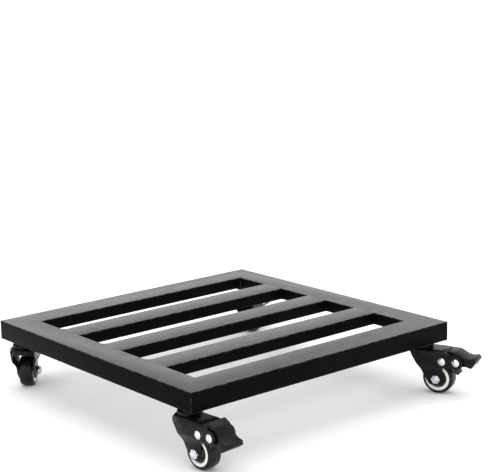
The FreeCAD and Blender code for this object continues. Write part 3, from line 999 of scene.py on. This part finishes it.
@dataclass
class Caster:
    """One caster, built in its own frame: trail along X, axle along Y, Z up."""

    shop: Workshop
    corner: Corner
    fork_round: float = 0.45 * MM
    fork_angle: float = 42.0
    web_recess: float = 4.0 * MM
    bolt_round: float = 0.3 * MM
    bolt_angle: float = 45.0
    hexagon_sides: int = 6
    nut_chamfer: float = 0.9 * MM
    nut_rise: float = 0.55 * MM
    nut_round: float = 0.3 * MM
    nut_angle: float = 25.0
    nut_top: float = 0.9
    rivet_head: float = 6.0 * MM
    rivet_dome: float = 3.0 * MM
    rivet_pin: float = 3.0 * MM
    pedal_round: float = 0.4 * MM
    shoe_round: float = 0.5 * MM
    rib_count: int = 9
    rib_start: float = -1.0 * MM
    rib_pitch: float = 3.3 * MM
    rib_drop: float = 40.0 * MM
    rib_sink: float = 0.15 * MM
    rib_radius: float = 0.65 * MM
    rib_length: float = 24.0 * MM
    place: Matrix = field(init=False)
    pressed: float = field(init=False)
    axle: Vector = field(init=False)
    pivot: Vector = field(init=False)

    def __post_init__(self) -> None:
        """Read the caster's axes from the frame's joints."""
        joints = {joint["name"]: joint for joint in frame["joints"]}
        swivel = Vector(joints["swivel_turn_" + self.corner.value]["pos_m"])
        wheel = joints["wheel_roll_" + self.corner.value]
        across = Vector(wheel["axis"])
        along = across.cross(Vector((0, 0, 1)))
        turn = Matrix((along, across, Vector((0, 0, 1)))).transposed().to_4x4()
        self.place = Matrix.Translation((swivel.x, swivel.y, 0)) @ turn
        home = self.place.inverted()
        self.axle = home @ Vector(wheel["pos_m"])
        brake = joints["brake_press_" + self.corner.value]
        self.pivot = home @ Vector(brake["pos_m"])
        self.pressed = math.radians(-brake["range_deg"][0])

    def named(self, part: str) -> str:
        """Full name of one of this caster's nodes, bodies or pieces."""
        return f"{part}_{self.corner.value}"

    def span(self, part: str) -> tuple[Vector, Vector]:
        """Corners of a node's box in the caster's own frame.

        Args:
            part: the node's name without its corner.

        Returns:
            Lowest and highest corner.
        """
        home = self.place.inverted()
        verts = frame["nodes"][self.named(part)].data.vertices
        points = [home @ vert.co for vert in verts]
        low = Vector(min(point[axis] for point in points) for axis in range(3))
        high = Vector(max(point[axis] for point in points) for axis in range(3))
        return low, high

    def laid(self, mesh: bmesh.types.BMesh, centre: Vector) -> bmesh.types.BMesh:
        """Lay a shape that was turned about Z across the caster.

        Args:
            mesh: the turned shape, with Z as its axle.
            centre: where its middle goes, in the caster's frame.

        Returns:
            The same shape, in the caddy's frame.
        """
        tip = Matrix.Rotation(math.radians(90), 4, "X")
        mesh.transform(self.place @ Matrix.Translation(centre) @ tip)
        return mesh

    def build(self) -> None:
        """Make every piece of the caster."""
        self.build_fork()
        self.build_wheel()
        self.build_axle()
        self.build_rivets()
        self.build_brake()
        self.shop.keep(self.named("race_balls"), Slot.BALL)
        self.shop.keep(self.named("axle_sleeve"), Slot.ZINC)

    def build_fork(self) -> None:
        """Pressed fork with rounded edges."""
        fork = self.named("fork")
        mesh = refined(fork, self.fork_round, self.fork_angle)
        name, body = self.named("fork_coat"), self.named("swivel")
        self.shop.fit(name, mesh, Slot.FORK, body, [fork], PRESSED_ANGLE)

    def build_wheel(self) -> None:
        """Tread, pale rim and hub covers."""
        low, high = self.span("tread")
        radius = (high.z - low.z) / 2
        half = (high.y - low.y) / 2
        core_low, core_high = self.span("wheel_core")
        core_radius = (core_high.z - core_low.z) / 2
        core_half = (core_high.y - core_low.y) / 2
        self.fit_wheel_part("tread", self.tread_shape(radius, core_radius, half), Slot.TREAD)
        self.fit_wheel_part("wheel_core", self.core_shape(core_radius, core_half), Slot.RIM)
        mesh = self.hub_cover_shape(core_half)
        other = mesh.copy()
        other.transform(Matrix.Rotation(math.pi, 4, "X"))
        self.join(mesh, other)
        self.fit_wheel_part("hub_caps", mesh, Slot.HUB)

    def fit_wheel_part(self, part: str, mesh: bmesh.types.BMesh, slot: Slot) -> None:
        """Fit one turned piece of the wheel.

        Args:
            part: the node it stands for, without its corner.
            mesh: its shape, turned about Z.
            slot: its finish.
        """
        name, body = self.named(part + "_turned"), self.named("wheel")
        self.shop.fit(name, self.laid(mesh, self.axle), slot, body, [self.named(part)])

    @staticmethod
    def join(mesh: bmesh.types.BMesh, other: bmesh.types.BMesh) -> None:
        """Add one shape to another.

        Args:
            mesh: the shape that grows.
            other: the shape that is added and freed.
        """
        scratch = bpy.data.meshes.new("scratch")
        other.to_mesh(scratch)
        other.free()
        mesh.from_mesh(scratch)
        bpy.data.meshes.remove(scratch)

    @staticmethod
    def tread_shape(radius: float, inner: float, half: float) -> bmesh.types.BMesh:
        """Tyre with round shoulders and a fine mould line.

        Args:
            radius: outer radius.
            inner: radius where it meets the core.
            half: half its width.

        Returns:
            The tyre, turned about Z.
        """
        shoulder = 4.2 * MM
        lip = 0.5 * MM
        crown = 0.25 * MM
        seam = 0.35 * MM
        seam_rise = 0.1 * MM
        flank, brow, steps = 88.0, 8.0, 9
        side = radius - crown / 2
        bend = shoulder - crown
        profile = [(inner, -half + lip), (inner + lip, -half)]
        profile += arc((radius - shoulder, -half + shoulder), bend, -flank, -brow, steps)
        profile += [(side, -half / 2), (radius, -seam), (radius + seam_rise, 0.0)]
        profile += [(radius, seam), (side, half / 2)]
        profile += arc((radius - shoulder, half - shoulder), bend, brow, flank, steps)
        profile += [(inner + lip, half), (inner, half - lip)]
        return turned(profile, closed=True, steps=WHEEL_STEPS)

    def core_shape(self, radius: float, half: float) -> bmesh.types.BMesh:
        """Core with a softly domed rim, a thin web and a hub.

        Args:
            radius: outer radius.
            half: half its width.

        Returns:
            The core, turned about Z.
        """
        rim_width = 5.2 * MM
        bore = 6.06 * MM
        bulge = 0.36 * MM
        root = 0.4 * MM
        shoulder = 0.8 * MM
        lip = 0.5 * MM
        lip_fall = 0.1 * MM
        inside = radius - rim_width
        middle = (radius + inside) / 2
        floor = half - self.web_recess
        side = [
            (bore, floor),
            (inside - root, floor),
            (inside, floor + root),
            (inside, half - shoulder),
            (inside + lip, half - lip_fall),
            (middle - shoulder, half + bulge),
            (middle + shoulder, half + bulge),
            (radius - lip, half - lip_fall),
            (radius, half - shoulder),
        ]
        mirrored = [(across, -up) for across, up in reversed(side)]
        return turned(side + mirrored, closed=True, steps=WHEEL_STEPS)

    def hub_cover_shape(self, half: float) -> bmesh.types.BMesh:
        """Dished cover with a raised ring, seen on both faces of the wheel.

        Args:
            half: half the core's width.

        Returns:
            The cover on the +Z face, turned about Z.
        """
        clearance = 0.02 * MM
        thickness = 0.9 * MM
        bore, rim = 7.0 * MM, 14.9 * MM
        ring, ring_radius, ring_sink = 11.0 * MM, 1.1 * MM, 0.1 * MM
        ring_steps = 8
        corner, corner_fall = 0.5 * MM, 0.4 * MM
        dish = 0.2 * MM
        groove, groove_reach = 0.3 * MM, 2.0 * MM
        floor = half - self.web_recess + clearance
        top = floor + thickness
        profile = [
            (bore, floor),
            (rim, floor),
            (rim, top - corner_fall),
            (rim - corner, top),
            (ring + ring_radius, top - dish),
        ]
        profile += arc((ring, top - ring_sink), ring_radius, 0.0, 180.0, ring_steps)
        profile += [
            (ring - groove_reach, top - groove),
            (bore + corner, top),
            (bore, top - corner_fall),
        ]
        return turned(profile, closed=True)

    def build_axle(self) -> None:
        """Bolt with a hexagon head, and a locking nut on the near cheek."""
        low, high = self.span("axle_nut")
        height = high.y - low.y
        nut = self.hexagon_shape(high.z - low.z, height)
        self.join(nut, turned(self.collar_profile(height), closed=True, steps=PIN_STEPS))
        laid = self.laid(nut, Vector((self.axle.x, high.y, self.axle.z)))
        body = self.named("swivel")
        name = self.named("axle_nut_bright")
        self.shop.fit(name, laid, Slot.ZINC, body, [self.named("axle_nut")])
        bolt = self.named("axle_bolt")
        mesh = refined(bolt, self.bolt_round, self.bolt_angle)
        self.shop.fit(self.named("axle_bolt_bright"), mesh, Slot.ZINC, body, [bolt])

    def hexagon_shape(self, flats: float, height: float) -> bmesh.types.BMesh:
        """Hexagon nut with a chamfered face, sitting on Z = 0.

        Args:
            flats: width across the flats.
            height: its height.

        Returns:
            The nut, along +Z.
        """
        mesh = bmesh.new()
        corner = flats / math.sqrt(3)
        turn = Matrix.Rotation(math.pi / self.hexagon_sides, 4, "Z")
        bmesh.ops.create_cone(
            mesh,
            cap_ends=True,
            segments=self.hexagon_sides,
            radius1=corner,
            radius2=corner,
            depth=height,
            matrix=Matrix.Translation((0, 0, height / 2)) @ turn,
        )
        top = [face for face in mesh.faces if face.normal.z > self.nut_top]
        bmesh.ops.inset_region(mesh, faces=top, thickness=self.nut_chamfer, depth=0.0)
        caps = [face for face in mesh.faces if face.normal.z > self.nut_top]
        cap = next(face for face in caps if len(face.verts) == self.hexagon_sides)
        bmesh.ops.translate(mesh, verts=cap.verts, vec=(0, 0, self.nut_rise))
        soften(mesh, self.nut_round, angle=self.nut_angle)
        return mesh

    @staticmethod
    def collar_profile(height: float) -> Profile:
        """Outline of the nut's nylon collar and the bolt's rounded tip.

        Args:
            height: top face of the hexagon.

        Returns:
            A closed outline of (radius, height).
        """
        base = height + 0.3 * MM
        core, rim, rim_round, rim_level = 0.2 * MM, 5.4 * MM, 0.7 * MM, 1.0 * MM
        bolt_tip = [(4.05, 1.6), (3.9, 1.2), (3.5, 2.1), (2.6, 2.5), (0.2, 2.6)]
        profile = [(core, base), (rim, base)]
        profile += arc((rim - rim_round, base + rim_level), rim_round, 0.0, 90.0, 4)
        profile += [(across * MM, base + up * MM) for across, up in bolt_tip]
        return profile

    def build_rivets(self) -> None:
        """Two domed rivets across the cheeks."""
        low, high = self.span("brake_rivets")
        spring = Vector((low.x + self.rivet_head, 0, low.z + high.z - self.pivot.z))
        mesh = self.laid(self.rivet_shape(high.y), self.pivot)
        self.join(mesh, self.laid(self.rivet_shape(high.y), spring))
        name, body = self.named("brake_rivets_bright"), self.named("swivel")
        self.shop.fit(name, mesh, Slot.RIVET, body, [self.named("brake_rivets")])

    def rivet_shape(self, reach: float) -> bmesh.types.BMesh:
        """Pin with a domed head at each end.

        Args:
            reach: half its whole length.

        Returns:
            The rivet, turned about Z.
        """
        head, dome = self.rivet_head, self.rivet_dome
        brim, brim_rise = 0.3 * MM, 0.25 * MM
        dome_share, pole, steps = 0.94, 89.0, 8
        seat = reach - dome
        ball = (head**2 + dome**2) / (2 * dome)
        half_angle = math.degrees(math.asin(head / ball))
        upper = [(self.rivet_pin, seat), (head - brim, seat), (head, seat + brim_rise)]
        upper += arc((0.0, reach - ball), ball, 90.0 - half_angle * dome_share, pole, steps)
        upper.append((0.0, reach))
        lower = [(across, -up) for across, up in reversed(upper)]
        return turned(lower + upper, closed=False, steps=PIN_STEPS)

    def build_brake(self) -> None:
        """Pedal with grip ribs across its slope and toe, and its shoe."""
        body = self.named("brake")
        pedal = self.named("brake_pedal")
        mesh = refined(pedal, self.pedal_round)
        self.add_ribs(mesh)
        self.shop.fit(pedal + "_coat", mesh, Slot.FORK, body, [pedal], PRESSED_ANGLE)
        shoe = self.named("brake_shoe")
        mesh = refined(shoe, self.shoe_round)
        self.shop.fit(shoe + "_coat", mesh, Slot.SHOE, body, [shoe], PRESSED_ANGLE)

    def add_ribs(self, mesh: bmesh.types.BMesh) -> None:
        """Lay half-sunk round ribs across the pedal's upper side.

        Args:
            mesh: the pedal, in the caddy's frame.
        """
        surface = BVHTree.FromBMesh(mesh)
        tilt = Matrix.Rotation(self.pressed, 4, "Y")
        seat = self.place @ Matrix.Translation(self.pivot) @ tilt
        down = seat.to_3x3() @ Vector((0, 0, -1))
        across = Matrix.Rotation(math.pi / 2, 4, "X")
        for index in range(self.rib_count):
            along = self.rib_start + index * self.rib_pitch
            above = seat @ Vector((along, 0, self.rib_drop))
            spot, _, _, _ = surface.ray_cast(above, down)
            if spot is None:
                continue
            rib = turned(self.rib_profile(), closed=False, steps=RIB_STEPS)
            level = (seat.inverted() @ spot).z - self.rib_sink
            rib.transform(seat @ Matrix.Translation((along, 0, level)) @ across)
            self.join(mesh, rib)

    def rib_profile(self) -> Profile:
        """Outline of a round bar with domed ends.

        Returns:
            An open outline of (radius, height), from pole to pole.
        """
        radius = self.rib_radius
        half = self.rib_length / 2
        steps = 4
        start = arc((0.0, -half + radius), radius, -90.0, 0.0, steps)
        end = arc((0.0, half - radius), radius, 0.0, 90.0, steps)
        return [(max(across, 0.0), up) for across, up in start + end]


# ------------------------------------------------------------------------ studio


@dataclass(frozen=True)
class Panel:
    """A square soft light that hangs at a spot and faces a target."""

    name: str
    spot: Triple
    target: Triple
    side: float
    watts: float

    def hang(self) -> None:
        """Add the light to the scene."""
        data = bpy.data.lights.new(self.name, "AREA")
        data.shape = "SQUARE"
        data.size = self.side
        data.energy = self.watts
        lamp = bpy.data.objects.new(self.name, data)
        aim = Vector(self.target) - Vector(self.spot)
        turn = aim.to_track_quat("-Z", "Y").to_matrix().to_4x4()
        lamp.matrix_world = Matrix.Translation(self.spot) @ turn
        bpy.context.scene.collection.objects.link(lamp)


@dataclass
class Studio:
    """Floor, light and camera."""

    floor_reach: float = 80.0
    floor_gap: float = 0.2 * MM
    room_light: float = 1.15
    panels: tuple[Panel, ...] = (
        Panel("overhead", (0.1, 0.2, 2.6), (0.0, 0.0, 0.0), side=3.4, watts=46.0),
        Panel("side_fill", (-2.6, -0.6, 1.3), (0.0, 0.0, -0.05), side=1.6, watts=8.0),
    )
    lens: float = 101.1
    sensor: float = 36.0
    eye: Triple = (-1.30347, -1.6555, 0.5833)
    right: Triple = (0.770302, -0.637229, -0.023956)
    up: Triple = (0.149997, 0.144552, 0.978062)

    def build(self) -> None:
        """Set up the whole studio."""
        self.lay_floor()
        self.light_room()
        for panel in self.panels:
            panel.hang()
        self.mount_camera()

    def lay_floor(self) -> None:
        """Plain pale floor under the wheels."""
        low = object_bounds()[0]
        mesh = bmesh.new()
        bmesh.ops.create_grid(mesh, x_segments=1, y_segments=1, size=self.floor_reach)
        bmesh.ops.translate(mesh, verts=mesh.verts, vec=(0, 0, low[2] - self.floor_gap))
        floor = as_piece("studio_floor", mesh)
        floor.data.materials.append(PaleFloor().build())
        floor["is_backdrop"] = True

    def light_room(self) -> None:
        """Even white surroundings."""
        world = bpy.data.worlds.new("studio")
        world.use_nodes = True
        inputs = world.node_tree.nodes["Background"].inputs
        inputs["Color"].default_value = (1.0, 1.0, 1.0, 1.0)
        inputs["Strength"].default_value = self.room_light
        bpy.context.scene.world = world

    def mount_camera(self) -> None:
        """Camera at the reference view."""
        data = bpy.data.cameras.new("view")
        data.sensor_width = self.sensor
        data.lens = self.lens
        camera = bpy.data.objects.new("view", data)
        right, up = Vector(self.right), Vector(self.up)
        turn = Matrix((right, up, right.cross(up))).transposed().to_4x4()
        camera.matrix_world = Matrix.Translation(self.eye) @ turn
        bpy.context.scene.collection.objects.link(camera)
        bpy.context.scene.camera = camera


def main() -> None:
    """Build the caddy and its studio."""
    logging.basicConfig(level=logging.INFO, format="%(message)s")
    shop = Workshop(Finishes())
    Deck(shop).build()
    for corner in Corner:
        Caster(shop, corner).build()
    Studio().build()
    bpy.context.scene.view_settings.view_transform = "Standard"


if __name__ == "__main__":
    main()
